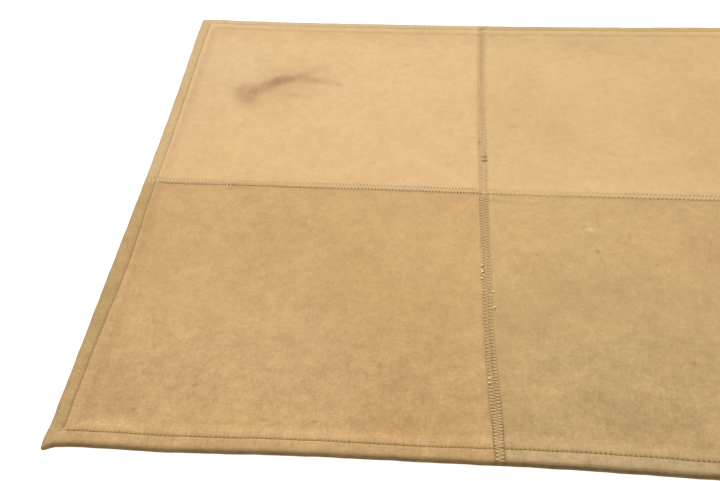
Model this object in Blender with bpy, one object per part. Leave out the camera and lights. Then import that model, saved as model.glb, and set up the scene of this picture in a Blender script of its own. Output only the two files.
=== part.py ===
"""Leather patchwork mat: four square suede panels sewn together, lying flat on the floor.

Metres, +Z up.  Mat coordinates run from the nominal front left corner, x across the mat and y
towards its back edge.  The finished mat is moved so that its origin is the bottom centre of
its bounding box.  Every panel is one closed solid: a single layer of leather on the floor, and
along its two outer sides a hem, where the leather is folded under and lies double.  Along the
cross seam the far panels lap over a thinned strip of the near ones; along the long seam the
panels butt.  Distances a and b run from a panel's two outer sides, along x and along y.
"""
import bmesh
import bpy
import numpy as np

# Driving dimensions
PANEL = 0.400              # finished side of one panel
LEATHER = 0.0030           # thickness of the leather
JOINT_GAP = 0.0003         # clearance between neighbouring panels
LAP = 0.0090               # how far the near panels reach under the far ones
SKIVED = (0.0012, 0.0010)  # thickness of that strip, left and right column
HEM_STITCH = 0.0150        # from the folded edge to the line of hem stitches, as a rule
HEM_TURN = 0.0210          # width of the strip that is turned under
HEM_END = 0.0300           # from the folded edge to where the single layer is flat on the floor
RAW_EDGE_DRAFT = 0.0003    # lean of the turned strip's cut edge
RAW_EDGE_HEIGHT = 0.85     # height of that edge, as a share of the leather's thickness
CORNER_RADIUS = 0.0040     # rounding of the mat's corners in plan
PLAIN_STEPS = 8            # grid steps across the plain part of a panel
FOLD_STEPS = (0.0, 0.15, 0.5)   # grid lines on the round of the fold, as shares of its radius
SHARP_ANGLE_DEG = 40

FOLD_RADIUS = LEATHER                    # the fold is a half round, two layers high
RAW_EDGE = HEM_TURN + RAW_EDGE_DRAFT     # top of the turned strip's cut edge
MM = 0.001

# Hem section outside the round of the fold.  Columns: distance from the fold, height (mm).
HEM_TOP = ((3.0, 6.0), (9.0, 6.15), (13.8, 5.75), (15.0, 5.3), (16.2, 5.75), (21.0, 5.4),
           (24.5, 4.2), (30.0, 3.0))

# Rise of the leather beside a butt joint.  Columns: distance from the joint, rise (mm).
JOINT_RISE = ((0.0, -0.25), (1.2, -0.15), (4.5, 0.10), (9.0, 0.15), (16.0, 0.0))

# Far panel beside the lapped joint, over the full strip.
# Columns: distance from the panel's edge, rise of its top, of its underside (mm).
LAP_OVER = ((0.0, 1.5, 2.5), (1.2, 1.7, 2.5), (5.0, 2.05, 2.5), (9.4, 2.1, 2.5),
            (14.0, 1.6, 1.5), (20.0, 0.85, 0.75), (27.0, 0.3, 0.2), (35.0, 0.0, 0.0))

# Near panel beside the lapped joint.  Columns: distance from the joint, rise of its top (mm).
LAP_UNDER = ((0.0, -0.35), (0.45, -0.15), (4.5, -0.1), (16.0, 0.0))

# The near left corner is pinched to a low point.
# Columns: distance from the corner (mm), share of the height lost.
PINCH = ((0.0, 0.45), (5.0, 0.30), (9.0, 0.10), (15.0, 0.0))

# Slow unevenness of the hide.
# Columns: wave length in x, in y (mm), phase (turns), height (mm).
SWELLS = ((450, 900, 0.20, 0.17), (610, -370, 0.05, 0.14), (260, -350, 0.35, 0.08))

# Where the hem's stitch line really is.  Columns: place along the edge, distance from it (mm).
STITCHES = {
    "left": ((0, 13.6), (110, 14.0), (170, 15.5), (245, 17.5), (290, 16.9), (350, 14.9),
             (450, 14.4), (590, 13.4), (800, 13.7)),
    "right": ((0, 14.8), (400, 15.6), (800, 14.2)),
    "front": ((0, 16.2), (260, 15.8), (320, 15.3), (440, 17.2), (520, 17.8), (590, 16.8),
              (800, 15.6)),
    "back": ((0, 12.6), (300, 13.6), (550, 12.4), (800, 13.8)),
}

# How much farther from the fold the hem's inner slope lies on each side.
# Columns: place along the edge, spread (mm).
SPREAD = {
    "left": ((0, 4.5), (140, 4.5), (230, 0.0), (560, 0.0), (700, 1.5), (800, 1.5)),
    "right": ((0, 2.0), (800, 2.0)),
    "front": ((0, 1.0), (800, 0.0)),
    "back": ((0, 5.0), (400, 5.0), (800, 5.0)),
}

# Where that spread acts.  Columns: distance from the fold (mm), share of it.
SPREAD_REACH = ((15.0, 0.0), (22.0, 1.0), (28.0, 1.0), (70.0, 0.0))

# Along the back edge the hem slopes down more gently, and the leather under it is lifted.
# Columns: distance from the fold, rise (mm).
BACK_SLOPE = ((19.0, 0.0), (25.0, 0.40), (30.0, 0.95), (36.0, 0.65), (46.0, 0.25), (60.0, 0.0))
MITRE = 0.012              # width of the zone at a corner where one side's hem gives way to another

# How far each edge and seam strays from its straight line.
# Columns: place along the line, stray towards +x or +y (mm).
STRAY = {
    "left": ((-3, -1.9), (9, -1.5), (20, -0.4), (56, 0.1), (200, 0.7), (400, 1.9),
             (580, 1.4), (690, -0.3), (770, -1.6), (805, -1.4)),
    "right": ((-3, 1.5), (200, 0.2), (400, -0.6), (600, 0.3), (811, 1.6)),
    "front": ((-3, -3.0), (0, -2.2), (3.5, -1.2), (6.7, 0.3), (10, 1.6), (15, 2.0), (105, 1.4),
              (230, 3.9), (350, 3.2), (455, 2.3), (525, 0.2), (590, -1.9), (803, -3.2)),
    "back": ((-3, 0.6), (3, 1.6), (12, 2.3), (48, 0.4), (107, -1.2), (250, -1.2), (425, 0.1),
             (510, 1.5), (600, 4.2), (700, 9.2), (803, 12.0)),
    "cross_seam": ((-3, -1.7), (130, -0.9), (200, -2.2), (268, -2.0), (360, -3.0), (450, -3.3),
                   (630, -3.2), (803, -2.9)),
    "long_seam": ((-3, 5.0), (40, 3.5), (70, 2.4), (98, 1.0), (130, 0.0), (165, -1.1),
                  (235, -1.6), (400, -1.2), (500, -0.5), (640, 0.9), (705, 1.9), (772, 4.0),
                  (811, 5.0)),
}

# The panels.  Columns: name, column, row, colour.
PANELS = (
    ("panel_near_left", 0, 0, (0.443, 0.273, 0.120, 1.0)),
    ("panel_near_right", 1, 0, (0.421, 0.278, 0.123, 1.0)),
    ("panel_far_left", 0, 1, (0.524, 0.343, 0.168, 1.0)),
    ("panel_far_right", 1, 1, (0.505, 0.338, 0.160, 1.0)),
)
SUEDE_ROUGHNESS = 0.95


def through(rows, place, column=1):
    """Smooth curve through a table's rows: cubic pieces with the neighbours' slope."""
    table = np.array(rows, dtype=float)
    xs, ys = table[:, 0], table[:, column]
    slopes = np.gradient(ys, xs)
    place = np.clip(place, xs[0], xs[-1])
    k = np.clip(np.searchsorted(xs, place) - 1, 0, len(xs) - 2)
    span = xs[k + 1] - xs[k]
    t = (place - xs[k]) / span
    start = (1 + 2 * t) * (1 - t) ** 2 * ys[k] + t * (1 - t) ** 2 * span * slopes[k]
    end = t * t * (3 - 2 * t) * ys[k + 1] - t * t * (1 - t) * span * slopes[k + 1]
    return start + end


def line_at(name, nominal, along):
    """Where an edge or seam really runs, for places along it."""
    return nominal + through(STRAY[name], along / MM) * MM


def grid_distances(joint_rows, slope_rows=()):
    """Distances of a panel's grid lines from its outer side, close together at hem and joint."""
    fold = [share * FOLD_RADIUS for share in FOLD_STEPS] + [CORNER_RADIUS]
    hem = [row[0] * MM for row in HEM_TOP] + [row[0] * MM for row in slope_rows
                                              if row[0] * MM > HEM_END]
    joint = [PANEL - row[0] * MM for row in joint_rows]
    plain = list(np.linspace(max(hem), min(joint), PLAIN_STEPS + 1)[1:-1])
    return np.array(sorted(fold + hem + [RAW_EDGE] + plain + joint))


def grid_lines(row):
    """Grid lines of a panel in the near (0) or far (1) row: the a lines and the b lines."""
    if row:
        return grid_distances(JOINT_RISE), grid_distances(LAP_OVER, BACK_SLOPE)
    return grid_distances(JOINT_RISE), np.append(grid_distances(LAP_UNDER), PANEL + LAP)


def rounded_corner(a, b):
    """Moves the square at the mat's corner into a quarter disc, so the corner is round."""
    inside = (a < CORNER_RADIUS) & (b < CORNER_RADIUS)
    u = (CORNER_RADIUS - a) / CORNER_RADIUS
    v = (CORNER_RADIUS - b) / CORNER_RADIUS
    disc_a = CORNER_RADIUS * (1 - u * np.sqrt(np.clip(1 - v * v / 2, 0, 1)))
    disc_b = CORNER_RADIUS * (1 - v * np.sqrt(np.clip(1 - u * u / 2, 0, 1)))
    return np.where(inside, disc_a, a), np.where(inside, disc_b, b)


def from_fold(a, b):
    """Distance from the mat's outline, round the corner too."""
    into_a = np.clip(CORNER_RADIUS - a, 0, None)
    into_b = np.clip(CORNER_RADIUS - b, 0, None)
    nearest = np.minimum(a, b)
    return np.where(nearest < CORNER_RADIUS, CORNER_RADIUS - np.hypot(into_a, into_b), nearest)


def swell(x, y):
    """Height that the hide's unevenness adds."""
    total = np.zeros_like(x)
    for across, away, phase, height in SWELLS:
        turns = x / (across * MM) + y / (away * MM) + phase
        total += height * MM * np.sin(2 * np.pi * turns)
    return total


def heights(a, b, x, y, column, row):
    """Top and bottom height of the leather at distances a and b from the panel's outer sides."""
    distance = np.clip(from_fold(a, b), 0, None)
    into_fold = np.clip(1 - distance / FOLD_RADIUS, 0, 1)
    roundness = np.sqrt(1 - into_fold ** 2)
    hem = through(HEM_TOP, distance / MM)
    single = np.clip(2 - hem * MM / LEATHER, 0, 1)

    strip = SKIVED[column]
    lap_share = (strip + JOINT_GAP) / (LAP_OVER[0][2] * MM)
    to_seam = (PANEL - b) / MM
    lap = through(LAP_OVER, to_seam) * lap_share if row else through(LAP_UNDER, to_seam)
    joint = through(JOINT_RISE, (PANEL - a) / MM)
    joint += single * lap + (1 - single) * through(JOINT_RISE, to_seam)
    slope = row * through(BACK_SLOPE, distance / MM) * np.clip(0.5 + (a - b) / MITRE, 0, 1)
    joint += slope
    top = FOLD_RADIUS + roundness * ((hem + joint) * MM + swell(x, y) - FOLD_RADIUS)
    if not row:
        top = np.where(b >= PANEL, top + (strip - top) * single, top)

    ramp = np.clip((HEM_END - distance) / (HEM_END - RAW_EDGE), 0, 1)
    lifted = RAW_EDGE_HEIGHT * LEATHER * ramp
    if row:
        lifted = np.maximum(lifted, through(LAP_OVER, to_seam, column=2) * lap_share * MM)
    lifted = lifted + slope * MM
    above_turn = np.where(distance > (HEM_TURN + RAW_EDGE) / 2, np.clip(lifted, 0, None), 0)
    bottom = np.where(into_fold > 0, FOLD_RADIUS * (1 - roundness), above_turn)

    if column == 0 and row == 0:
        kept = 1 - through(PINCH, np.hypot(a, b) / MM)
        top, bottom = top * kept, bottom * kept
    return top, bottom


def placed(side, nominal, inner, along, distance):
    """Where a grid line lies between an outer side and a joint, wider or narrower at the hem."""
    outer = line_at(side, nominal, along)
    inwards = np.sign(PANEL - nominal)
    widening = through(STITCHES[side], along / MM) * MM / HEM_STITCH - 1
    hem_share = np.clip(2 - distance / HEM_END, 0, 1)
    real = distance * (1 + widening * hem_share)
    reach = np.interp(distance / MM, *np.transpose(SPREAD_REACH))
    real = real + through(SPREAD[side], along / MM) * MM * reach
    shrink = np.abs(inner - outer) / PANEL
    return outer + inwards * (np.minimum(real, PANEL) * shrink + np.clip(real - PANEL, 0, None))


def panel_points(column, row):
    """Top and bottom points of one panel, as two grids of the same size."""
    a, b = np.meshgrid(*grid_lines(row), indexing="ij")
    a, b = rounded_corner(a, b)
    x = PANEL * 2 * column + (1 - 2 * column) * a
    y = PANEL * 2 * row + (1 - 2 * row) * b
    half_gap = JOINT_GAP / 2
    for _ in range(4):
        inner = line_at("long_seam", PANEL, y) + (2 * column - 1) * half_gap
        new_x = placed(("left", "right")[column], PANEL * 2 * column, inner, y, a)
        inner = line_at("cross_seam", PANEL, x) + (2 * row - 1) * half_gap
        y = placed(("front", "back")[row], PANEL * 2 * row, inner, x, b)
        x = new_x
    top, bottom = heights(a, b, x, y, column, row)
    return np.dstack((x, y, top)), np.dstack((x, y, bottom))


def grid_cells(row):
    """The panel's grid squares: the strip under the lap starts only where the hem has ended."""
    a_lines, b_lines = grid_lines(row)
    return [(i, j) for i in range(len(a_lines) - 1) for j in range(len(b_lines) - 1)
            if b_lines[j] < PANEL or a_lines[i] >= HEM_END]


def panel_mesh(name, column, row):
    """One closed skin: top, bottom, and a wall wherever the panel ends at a joint."""
    top, bottom = panel_points(column, row)
    mesh = bmesh.new()
    upper, lower = {}, {}
    walls = set()
    for i, j in grid_cells(row):
        ring = ((i, j), (i + 1, j), (i + 1, j + 1), (i, j + 1))
        for place in ring:
            if place not in upper:
                upper[place] = mesh.verts.new(top[place])
                lower[place] = upper[place] if 0 in place else mesh.verts.new(bottom[place])
        mesh.faces.new([upper[place] for place in ring])
        mesh.faces.new([lower[place] for place in reversed(ring)])
        walls ^= {frozenset(edge) for edge in zip(ring, ring[1:] + ring[:1])}
    for edge in sorted(sorted(edge) for edge in walls):
        start, end = edge
        skirt = list(dict.fromkeys((upper[start], upper[end], lower[end], lower[start])))
        if len(skirt) > 2:
            mesh.faces.new(skirt)
    bmesh.ops.recalc_face_normals(mesh, faces=mesh.faces)

    data = bpy.data.meshes.new(name)
    mesh.to_mesh(data)
    mesh.free()
    data.shade_smooth()
    data.set_sharp_from_angle(angle=np.radians(SHARP_ANGLE_DEG))
    return data


def suede(name, colour):
    """Matt leather with the nap up."""
    material = bpy.data.materials.new(name)
    material.use_nodes = True
    shader = material.node_tree.nodes["Principled BSDF"]
    shader.inputs["Base Color"].default_value = colour
    shader.inputs["Roughness"].default_value = SUEDE_ROUGHNESS
    shader.inputs["Metallic"].default_value = 0.0
    return material


def build():
    for old in list(bpy.data.objects):
        bpy.data.objects.remove(old)
    mat = bpy.data.objects.new("mat_origin", None)
    bpy.context.scene.collection.objects.link(mat)
    corners = []
    for name, column, row, colour in PANELS:
        data = panel_mesh(name, column, row)
        data.materials.append(suede(name + "_suede", colour))
        panel = bpy.data.objects.new(name, data)
        panel.parent = mat
        bpy.context.scene.collection.objects.link(panel)
        points = np.array([vertex.co for vertex in data.vertices])
        corners += [points.min(axis=0), points.max(axis=0)]
    low, high = np.min(corners, axis=0), np.max(corners, axis=0)
    mat.location = (-(low[0] + high[0]) / 2, -(low[1] + high[1]) / 2, -low[2])


build()
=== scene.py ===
"""Finished look of the leather patchwork mat: suede panels, sewn seams and hem, floor and light.

Metres, +Z up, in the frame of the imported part.  Mat coordinates run from the nominal front left
corner, x across the mat and y towards its back edge.  Nominal places (across, away) are those
of an ideal mat of four square panels; on_mat() turns them into real ones.
"""

import math

import bmesh
import bpy
import numpy as np
from mathutils import Matrix, Vector


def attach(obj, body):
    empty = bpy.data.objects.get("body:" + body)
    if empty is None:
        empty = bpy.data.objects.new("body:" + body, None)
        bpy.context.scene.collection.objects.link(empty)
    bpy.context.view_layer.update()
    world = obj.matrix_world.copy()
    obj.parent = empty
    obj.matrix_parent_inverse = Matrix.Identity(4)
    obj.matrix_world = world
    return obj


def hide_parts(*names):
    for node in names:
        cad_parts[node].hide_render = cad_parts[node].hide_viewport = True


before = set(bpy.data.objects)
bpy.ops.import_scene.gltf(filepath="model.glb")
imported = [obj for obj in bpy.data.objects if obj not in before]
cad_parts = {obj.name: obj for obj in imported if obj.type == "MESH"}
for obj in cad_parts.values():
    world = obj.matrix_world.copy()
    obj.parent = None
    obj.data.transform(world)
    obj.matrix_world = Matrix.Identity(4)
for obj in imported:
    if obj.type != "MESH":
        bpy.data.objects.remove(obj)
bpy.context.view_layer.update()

MM = 0.001
DEG = math.pi / 180

# ------ sizes, as in the part
PANEL = 0.400
LEATHER = 0.0030
JOINT_GAP = 0.0003
LAP = 0.0090
SKIVED = (0.0012, 0.0010)
HEM_STITCH = 0.0150
HEM_TURN = 0.0210
HEM_END = 0.0300
RAW_EDGE_DRAFT = 0.0003
RAW_EDGE_HEIGHT = 0.85
CORNER_RADIUS = 0.0040
FOLD_RADIUS = LEATHER
RAW_EDGE = HEM_TURN + RAW_EDGE_DRAFT
MAT_ORIGIN = (-0.3999, -0.404347, 0.0)  # where mat coordinates start, in the part's frame

# Columns: distance from the fold, height (mm).
HEM_TOP = ((3, 6), (9, 6.15), (13.8, 5.75), (15, 5.3), (16.2, 5.75), (21, 5.4), (24.5, 4.2), (30, 3))
# Columns: distance from the joint, rise (mm).
JOINT_RISE = ((0, -0.25), (1.2, -0.15), (4.5, 0.1), (9, 0.15), (16, 0))
# Columns: distance from the panel's edge, rise of its top, of its underside (mm).
LAP_OVER = (
    (0, 1.5, 2.5), (1.2, 1.7, 2.5), (5, 2.05, 2.5), (9.4, 2.1, 2.5), (14, 1.6, 1.5), (20, 0.85, 0.75),
    (27, 0.3, 0.2), (35, 0, 0),
)
# Columns: distance from the joint, rise of the near panel's top (mm).
LAP_UNDER = ((0, -0.35), (0.45, -0.15), (4.5, -0.1), (16, 0))
# Columns: distance from the corner (mm), share of the height lost.
PINCH = ((0, 0.45), (5, 0.3), (9, 0.1), (15, 0))
# Columns: wave length in x, in y (mm), phase (turns), height (mm).
SWELLS = ((450, 900, 0.2, 0.17), (610, -370, 0.05, 0.14), (260, -350, 0.35, 0.08))
# Columns: place along the edge, distance of the stitch line from it (mm).
STITCHES = {
    "left": ((0, 13.6), (110, 14), (170, 15.5), (245, 17.5), (290, 16.9), (350, 14.9), (450, 14.4),
        (590, 13.4), (800, 13.7)),
    "right": ((0, 14.8), (400, 15.6), (800, 14.2)),
    "front": ((0, 16.2), (260, 15.8), (320, 15.3), (440, 17.2), (520, 17.8), (590, 16.8), (800, 15.6)),
    "back": ((0, 12.6), (300, 13.6), (550, 12.4), (800, 13.8)),
}
# Columns: place along the edge, how much farther from it the hem's inner slope lies (mm).
SPREAD = {
    "left": ((0, 4.5), (140, 4.5), (230, 0), (560, 0), (700, 1.5), (800, 1.5)),
    "right": ((0, 2), (800, 2)),
    "front": ((0, 1), (800, 0)),
    "back": ((0, 5), (800, 5)),
}
SPREAD_BAND = (15, 22, 28, 70)  # where that tells: from, fully, until, to (mm)
# Columns: distance from the back edge's fold, rise (mm).
BACK_SLOPE = ((19, 0), (25, 0.4), (30, 0.95), (36, 0.65), (46, 0.25), (60, 0))
BACK_MITRE = 6  # half width of the zone at a corner where that rise ends (mm)
# Columns: place along the line, stray towards +x or +y (mm).
STRAY = {
    "left": ((-3, -1.9), (9, -1.5), (20, -0.4), (56, 0.1), (200, 0.7), (400, 1.9), (580, 1.4),
        (690, -0.3), (770, -1.6), (805, -1.4)),
    "right": ((-3, 1.5), (200, 0.2), (400, -0.6), (600, 0.3), (811, 1.6)),
    "front": ((-3, -3), (0, -2.2), (3.5, -1.2), (6.7, 0.3), (10, 1.6), (15, 2), (105, 1.4), (230, 3.9),
        (350, 3.2), (455, 2.3), (525, 0.2), (590, -1.9), (803, -3.2)),
    "back": ((-3, 0.6), (3, 1.6), (12, 2.3), (48, 0.4), (107, -1.2), (250, -1.2), (425, 0.1), (510, 1.5),
        (600, 4.2), (700, 9.2), (803, 12)),
    "cross_seam": ((-3, -1.7), (130, -0.9), (200, -2.2), (268, -2), (360, -3), (450, -3.3), (630, -3.2),
        (803, -2.9)),
    "long_seam": ((-3, 5), (40, 3.5), (70, 2.4), (98, 1), (130, 0), (165, -1.1), (235, -1.6),
        (400, -1.2), (500, -0.5), (640, 0.9), (705, 1.9), (772, 4), (811, 5)),
}

# ------ finer sizes, only here
BUTT_GAP = 0.00003  # the panels touch at the sewn joints
# Grid lines of a panel's skin: shares of the fold's radius, a step up to the hem's end, mm from
# the stitch line, a step in the middle, mm from a joint, mm into the strip under the lap.
FOLD_LINES = (0, 0.015, 0.06, 0.13, 0.23, 0.35, 0.5, 0.66, 0.82)
HEM_STEP = 0.0010
GROOVE_LINES = (-1.2, -0.8, -0.5, -0.25, 0, 0.25, 0.5, 0.8, 1.2)
PLAIN_STEP = 0.0036
JOINT_LINES = (0, 0.15, 0.3, 0.5, 0.8, 1.2, 1.8, 2.5, 3.3, 4.2, 5.2, 6.4, 7.8, 9.2, 10.6, 12, 13.5,
               15.2, 17, 19, 21.5, 24.5)
UNDER_LINES = (2, 4.5, 6.8)
LEAST_STEP = 0.00008  # lines closer than this are left out
SHARP_ANGLE = 40  # degrees
# The suede
COARSENESS = (1.6, 1.1)  # of its grain, on the near and the far panels
FRONT_COARSENESS = 0.75  # more of it along the worn front edge
FRONT_WEAR = (60, 240)  # from where to where that fades (mm)
# the puckers' depth also paints light and shade into the colour, besides the bump
PUCKER = (0.16, 0.09)  # depth of the hem's puckers, on the near and the far panels
PUCKER_BAND = (1, 5, 22, 34)  # where they are: from, fully, until, to (mm from the fold)
# From one needle hole of the hem to the next.  Columns: place along the side, pitch (mm).
HEM_PITCH = ((0, 3.85), (400, 3.85), (520, 4.4), (700, 4.5), (800, 4.5))
# The far panels' raw edge, rounded by wear.
# Columns: distance from it, height lost on the left panel, on the right panel (mm).
EDGE_WEAR = ((0, 0.7, 0.55), (0.4, 0.4, 0.35), (0.9, 0.18, 0.18), (1.6, 0.05, 0.05), (2.5, 0, 0))
BACK_GROOVE = (0.35, 1.6)  # filling of the back hem's stitch groove: height, half width (mm)
# Small unevenness, columns as for SWELLS.
RIPPLES = (
    (61, 143, 0.1, 0.05), (97, -71, 0.6, 0.055), (-38, 52, 0.3, 0.035), (27, 41, 0.8, 0.022),
    (33, -19, 0.45, 0.02),
)
# Small waves of the outline.  Columns: wave length (mm), phase (turns), stray (mm).
EDGE_WAVES = ((57, 0.15, 0.14), (31, 0.55, 0.1), (17, 0.35, 0.06))

# The panels.  Columns: name, column, row, slot, colour of the suede.
PANELS = (
    ("panel_near_left", 0, 0, "suede_tan", (0.443, 0.273, 0.120)),
    ("panel_near_right", 1, 0, "suede_khaki", (0.421, 0.278, 0.123)),
    ("panel_far_left", 0, 1, "suede_peach", (0.524, 0.343, 0.168)),
    ("panel_far_right", 1, 1, "suede_sand", (0.505, 0.338, 0.160)),
)


def through(rows, place, column=1):
    """Smooth curve through a table's rows: cubic pieces with the neighbours' slope."""
    table = np.array(rows, dtype=float)
    xs, ys = table[:, 0], table[:, column]
    slopes = np.gradient(ys, xs)
    place = np.clip(place, xs[0], xs[-1])
    k = np.clip(np.searchsorted(xs, place) - 1, 0, len(xs) - 2)
    span = xs[k + 1] - xs[k]
    t = (place - xs[k]) / span
    start = (1 + 2 * t) * (1 - t) ** 2 * ys[k] + t * (1 - t) ** 2 * span * slopes[k]
    end = t * t * (3 - 2 * t) * ys[k + 1] - t * t * (1 - t) * span * slopes[k + 1]
    return start + end


def smooth(value, low, high):
    """0 below low, 1 above high, with soft ends."""
    t = np.clip((value - low) / (high - low), 0, 1)
    return t * t * (3 - 2 * t)


def band(value, start, full, until, end):
    """1 from full to until, 0 before start and after end (mm), with soft sides."""
    return smooth(value, start * MM, full * MM) * (1 - smooth(value, until * MM, end * MM))


def hump(off, width):
    """1 at 0 and low beyond a width, both in millimetres."""
    return np.exp(-(off / width) ** 2)


def line_at(name, nominal, along):
    """Where an edge or seam really runs, for places along it."""
    waves = sum(height * np.sin(2 * np.pi * (along / MM / length + phase + len(name) / 7))
                for length, phase, height in EDGE_WAVES)
    return nominal + (through(STRAY[name], along / MM) + waves) * MM


def rounded_corner(a, b):
    """Moves the square at the mat's corner into a quarter disc, so the corner is round."""
    inside = (a < CORNER_RADIUS) & (b < CORNER_RADIUS)
    u = (CORNER_RADIUS - a) / CORNER_RADIUS
    v = (CORNER_RADIUS - b) / CORNER_RADIUS
    disc_a = CORNER_RADIUS * (1 - u * np.sqrt(np.clip(1 - v * v / 2, 0, 1)))
    disc_b = CORNER_RADIUS * (1 - v * np.sqrt(np.clip(1 - u * u / 2, 0, 1)))
    return np.where(inside, disc_a, a), np.where(inside, disc_b, b)


def from_fold(a, b):
    """Distance from the mat's outline, round the corner too."""
    into_a = np.maximum(CORNER_RADIUS - a, 0)
    into_b = np.maximum(CORNER_RADIUS - b, 0)
    nearest = np.minimum(a, b)
    round_corner = CORNER_RADIUS - np.hypot(into_a, into_b)
    return np.clip(np.where(nearest < CORNER_RADIUS, round_corner, nearest), 0, None)


def waves_at(rows, x, y):
    """Sum of slow waves across the mat, in metres."""
    total = np.zeros_like(x)
    for across, away, phase, height in rows:
        turns = x / (across * MM) + y / (away * MM) + phase
        total += height * MM * np.sin(2 * np.pi * turns)
    return total


def heights(a, b, x, y, column, row):
    """Top and bottom height of the leather at distances a and b from the panel's outer sides."""
    distance = from_fold(a, b)
    into_fold = np.clip(1 - distance / FOLD_RADIUS, 0, 1)
    roundness = np.sqrt(1 - into_fold ** 2)
    hem = through(HEM_TOP, distance / MM)
    single = np.clip(2 - hem * MM / LEATHER, 0, 1)

    strip = SKIVED[column]
    lap_share = (strip + JOINT_GAP) / (LAP_OVER[0][2] * MM)
    to_seam = (PANEL - b) / MM
    lap = through(LAP_OVER, to_seam) * lap_share if row else through(LAP_UNDER, to_seam)
    joint = through(JOINT_RISE, (PANEL - a) / MM)
    joint = joint + single * lap + (1 - single) * through(JOINT_RISE, to_seam)
    uneven = waves_at(SWELLS, x, y) + waves_at(RIPPLES, x, y)
    if row:
        joint = joint - single * through(EDGE_WEAR, to_seam, 1 + column)
        fill, width = BACK_GROOVE
        joint = joint + fill * hump((distance - HEM_STITCH) / MM, width) * (b < a)
    beside_back = smooth(a - b, -BACK_MITRE * MM, BACK_MITRE * MM) if row else 0.0
    slope = through(BACK_SLOPE, distance / MM) * beside_back
    joint = joint + slope
    top = FOLD_RADIUS + roundness * ((hem + joint) * MM + uneven - FOLD_RADIUS)
    if not row:
        top = np.where(b >= PANEL, top + (strip - top) * single, top)

    ramp = np.clip((HEM_END - distance) / (HEM_END - RAW_EDGE), 0, 1)
    lifted = RAW_EDGE_HEIGHT * LEATHER * ramp
    if row:
        lifted = np.maximum(lifted, through(LAP_OVER, to_seam, column=2) * lap_share * MM)
    lifted = lifted + slope * MM
    above_turn = np.where(distance > (HEM_TURN + RAW_EDGE) / 2, np.maximum(lifted, 0), 0)
    bottom = np.where(into_fold > 0, FOLD_RADIUS * (1 - roundness), above_turn)

    if column == 0 and row == 0:
        kept = 1 - through(PINCH, np.hypot(a, b) / MM)
        top, bottom = top * kept, bottom * kept
    return top, bottom


def placed(side, nominal, inner, along, distance):
    """Where a place lies between an outer side and a joint, wider or narrower at the hem."""
    outer = line_at(side, nominal, along)
    inwards = np.sign(PANEL - nominal)
    widening = through(STITCHES[side], along / MM) * MM / HEM_STITCH - 1
    hem_share = np.clip(2 - distance / HEM_END, 0, 1)
    real = distance * (1 + widening * hem_share)
    real = real + through(SPREAD[side], along / MM) * MM * band(distance, *SPREAD_BAND)
    shrink = np.abs(inner - outer) / PANEL
    return outer + inwards * (np.minimum(real, PANEL) * shrink + np.maximum(real - PANEL, 0))


def real_place(a, b, column, row):
    """Mat coordinates of places at distances a and b from a panel's outer sides."""
    x = PANEL * 2 * column + (1 - 2 * column) * a
    y = PANEL * 2 * row + (1 - 2 * row) * b
    half_gap = BUTT_GAP / 2
    for _ in range(4):
        inner = line_at("long_seam", PANEL, y) + (2 * column - 1) * half_gap
        new_x = placed(("left", "right")[column], PANEL * 2 * column, inner, y, a)
        inner = line_at("cross_seam", PANEL, x) + (2 * row - 1) * half_gap
        y = placed(("front", "back")[row], PANEL * 2 * row, inner, x, b)
        x = new_x
    return x, y


def on_mat(across, away):
    """Real x, y, top height and bottom height at nominal places on the mat."""
    across, away = np.broadcast_arrays(np.asarray(across, float), np.asarray(away, float))
    out = np.zeros((4, *across.shape))
    for _, column, row, _, _ in PANELS:
        here = ((across > PANEL) == bool(column)) & ((away > PANEL) == bool(row))
        if not here.any():
            continue
        a = np.where(column, 2 * PANEL - across, across)[here]
        b = np.where(row, 2 * PANEL - away, away)[here]
        x, y = real_place(a, b, column, row)
        out[:, here] = (x, y, *heights(a, b, x, y, column, row))
    return out
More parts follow.
